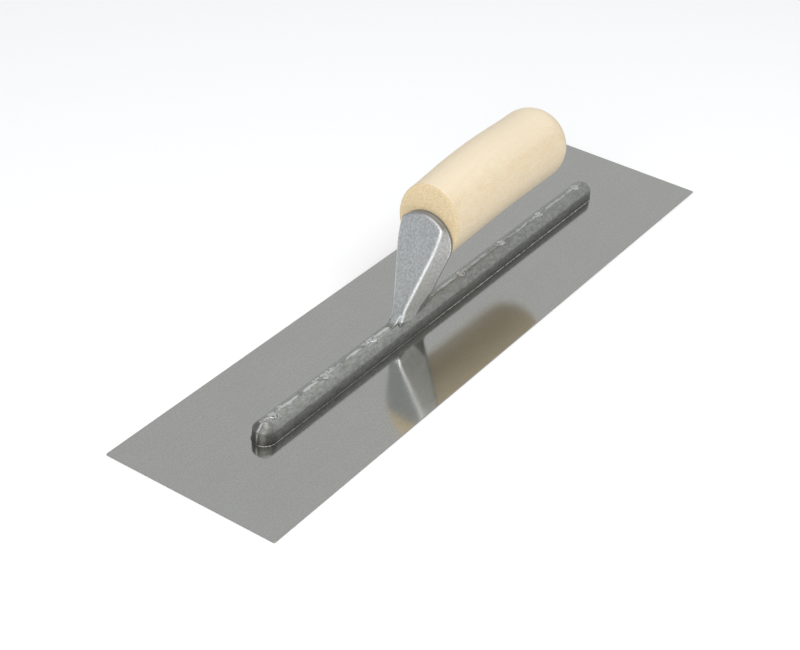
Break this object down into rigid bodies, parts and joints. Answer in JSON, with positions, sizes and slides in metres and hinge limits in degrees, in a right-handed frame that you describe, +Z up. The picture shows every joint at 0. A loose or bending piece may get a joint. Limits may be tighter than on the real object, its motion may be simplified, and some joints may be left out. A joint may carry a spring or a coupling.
{
  "type": "finishing trowel",
  "caption": "Flat rectangular steel trowel blade with a riveted mounting bar, a leaning shank and a wooden handle, for smoothing plaster and concrete.",
  "frame": {"origin": "centre of the blade's flat underside", "axes": "+X along the blade from the toe to the heel, where the handle's free end is; +Y across the blade; +Z up from the working face to the handle"},
  "size_m": [0.4064, 0.0984, 0.0847],
  "materials": {
    "blade_steel": "fine lengthwise brush, satin",
    "cast_alloy": "as cast, grainy",
    "ground_alloy": "ground and satin polished",
    "rivet_steel": "hammered and dressed",
    "fixing_steel": "zinc plated",
    "handle_wood": "pale fine grained wood, thin clear finish"
  },
  "bodies": {
    "root": {"blade": "blade_steel", "mounting_bar": "cast_alloy", "shank": "ground_alloy", "shank_screw": "fixing_steel", "handle": "handle_wood", "handle_rod": "fixing_steel", "washer": "fixing_steel", "handle_nut": "fixing_steel", "rivet_1": "rivet_steel", "rivet_2": "rivet_steel", "rivet_3": "rivet_steel", "rivet_4": "rivet_steel", "rivet_5": "rivet_steel", "rivet_6": "rivet_steel", "rivet_7": "rivet_steel"}
  },
  "joints": []
}
